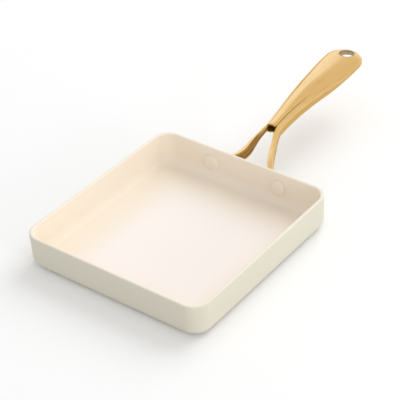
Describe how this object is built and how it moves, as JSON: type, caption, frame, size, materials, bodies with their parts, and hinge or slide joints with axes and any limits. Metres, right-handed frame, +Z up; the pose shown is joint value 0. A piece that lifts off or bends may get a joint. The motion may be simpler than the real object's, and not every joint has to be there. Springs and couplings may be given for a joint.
{
  "type": "egg pan",
  "caption": "Square shallow egg pan with rounded corners, coated inside and out, and a forked hollow metal handle riveted to one wall, with a hanging hole at its end.",
  "frame": {"origin": "middle of the underside, on the plane the pan stands on", "axes": "+Z up, +Y from the middle of the pan along the handle to its tip, +X to the right seen from the front wall"},
  "size_m": [0.167, 0.3299, 0.0526],
  "materials": {
    "coated_aluminium": "satin cream ceramic coating on pressed aluminium",
    "base_steel": "turned steel plate let into the underside",
    "gold_steel": "satin warm gold plated steel",
    "coated_rivet": "satin cream ceramic coating"
  },
  "bodies": {
    "root": {"pan_body": "coated_aluminium", "base_plate": "base_steel", "handle_lower_shell": "gold_steel", "handle_upper_shell": "gold_steel", "hang_sleeve": "gold_steel", "rivet_left": "coated_rivet", "rivet_right": "coated_rivet"}
  },
  "joints": []
}
